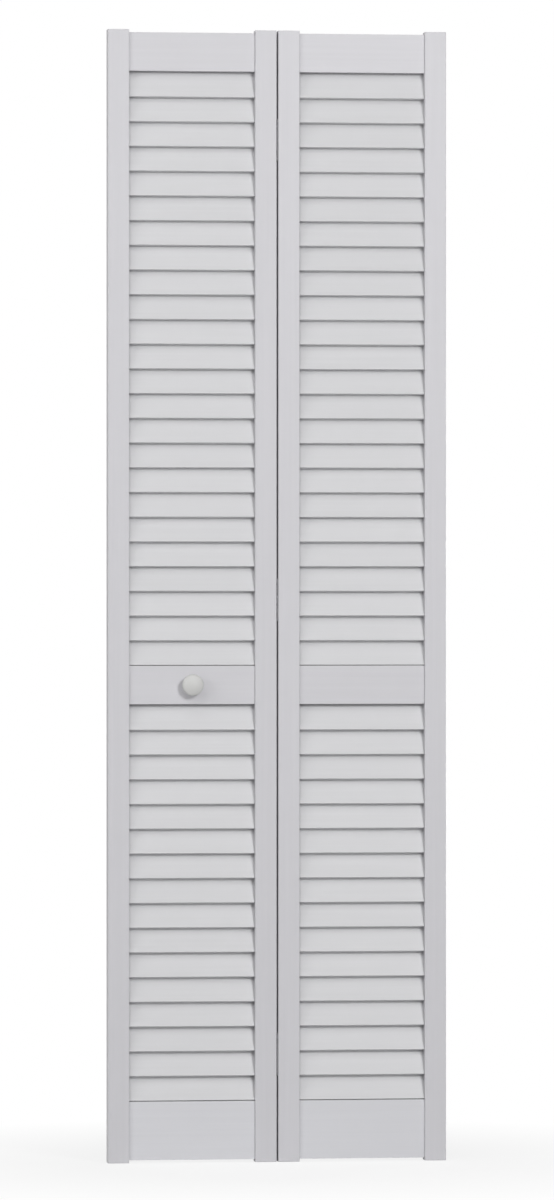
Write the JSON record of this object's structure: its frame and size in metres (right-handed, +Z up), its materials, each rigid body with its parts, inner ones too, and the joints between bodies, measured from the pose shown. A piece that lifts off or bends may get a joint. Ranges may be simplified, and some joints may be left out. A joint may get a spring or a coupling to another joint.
{
  "type": "bifold closet door",
  "caption": "Louvred bifold closet door: hinged stile-and-rail leaves with fixed inclined slats above and below a middle rail, and a round pull knob.",
  "frame": {"origin": "middle of the mouth of the bottom pivot bore, in the foot of the pivot leaf's outer stile", "axes": "+Z up the door, -Y out of its front face (the side with the knob), +X from the lead leaf with the knob to the pivot leaf"},
  "size_m": [0.602, 0.0547, 2],
  "materials": {
    "painted_frame": "satin white paint on pine, faint grain",
    "painted_slats": "satin white paint on pine",
    "painted_knob": "smooth satin white paint on turned wood",
    "hinge_plate": "satin off-white enamel on pressed steel",
    "hinge_pin": "bright drawn steel",
    "wood_screw": "bright zinc plate",
    "machine_screw": "bright zinc plate"
  },
  "bodies": {
    "pivot_leaf": {"pivot_outer_stile": "painted_frame", "pivot_hinge_stile": "painted_frame", "pivot_top_rail": "painted_frame", "pivot_middle_rail": "painted_frame", "pivot_bottom_rail": "painted_frame", "pivot_upper_slats": "painted_slats", "pivot_lower_slats": "painted_slats", "top_hinge_outer_plate": "hinge_plate", "middle_hinge_outer_plate": "hinge_plate", "bottom_hinge_outer_plate": "hinge_plate", "top_hinge_pin": "hinge_pin", "middle_hinge_pin": "hinge_pin", "bottom_hinge_pin": "hinge_pin", "pivot_hinge_screws": "wood_screw"},
    "lead_leaf": {"lead_outer_stile": "painted_frame", "lead_hinge_stile": "painted_frame", "lead_top_rail": "painted_frame", "lead_middle_rail": "painted_frame", "lead_bottom_rail": "painted_frame", "lead_upper_slats": "painted_slats", "lead_lower_slats": "painted_slats", "top_hinge_inner_plate": "hinge_plate", "middle_hinge_inner_plate": "hinge_plate", "bottom_hinge_inner_plate": "hinge_plate", "lead_hinge_screws": "wood_screw", "knob": "painted_knob", "knob_screw": "machine_screw"}
  },
  "joints": [
    {"name": "leaf_fold", "type": "hinge", "parent": "pivot_leaf", "child": "lead_leaf", "pos_m": [-0.282, 0.0178, 1], "axis": [0, 0, -1], "range_deg": [0, 180]}
  ]
}
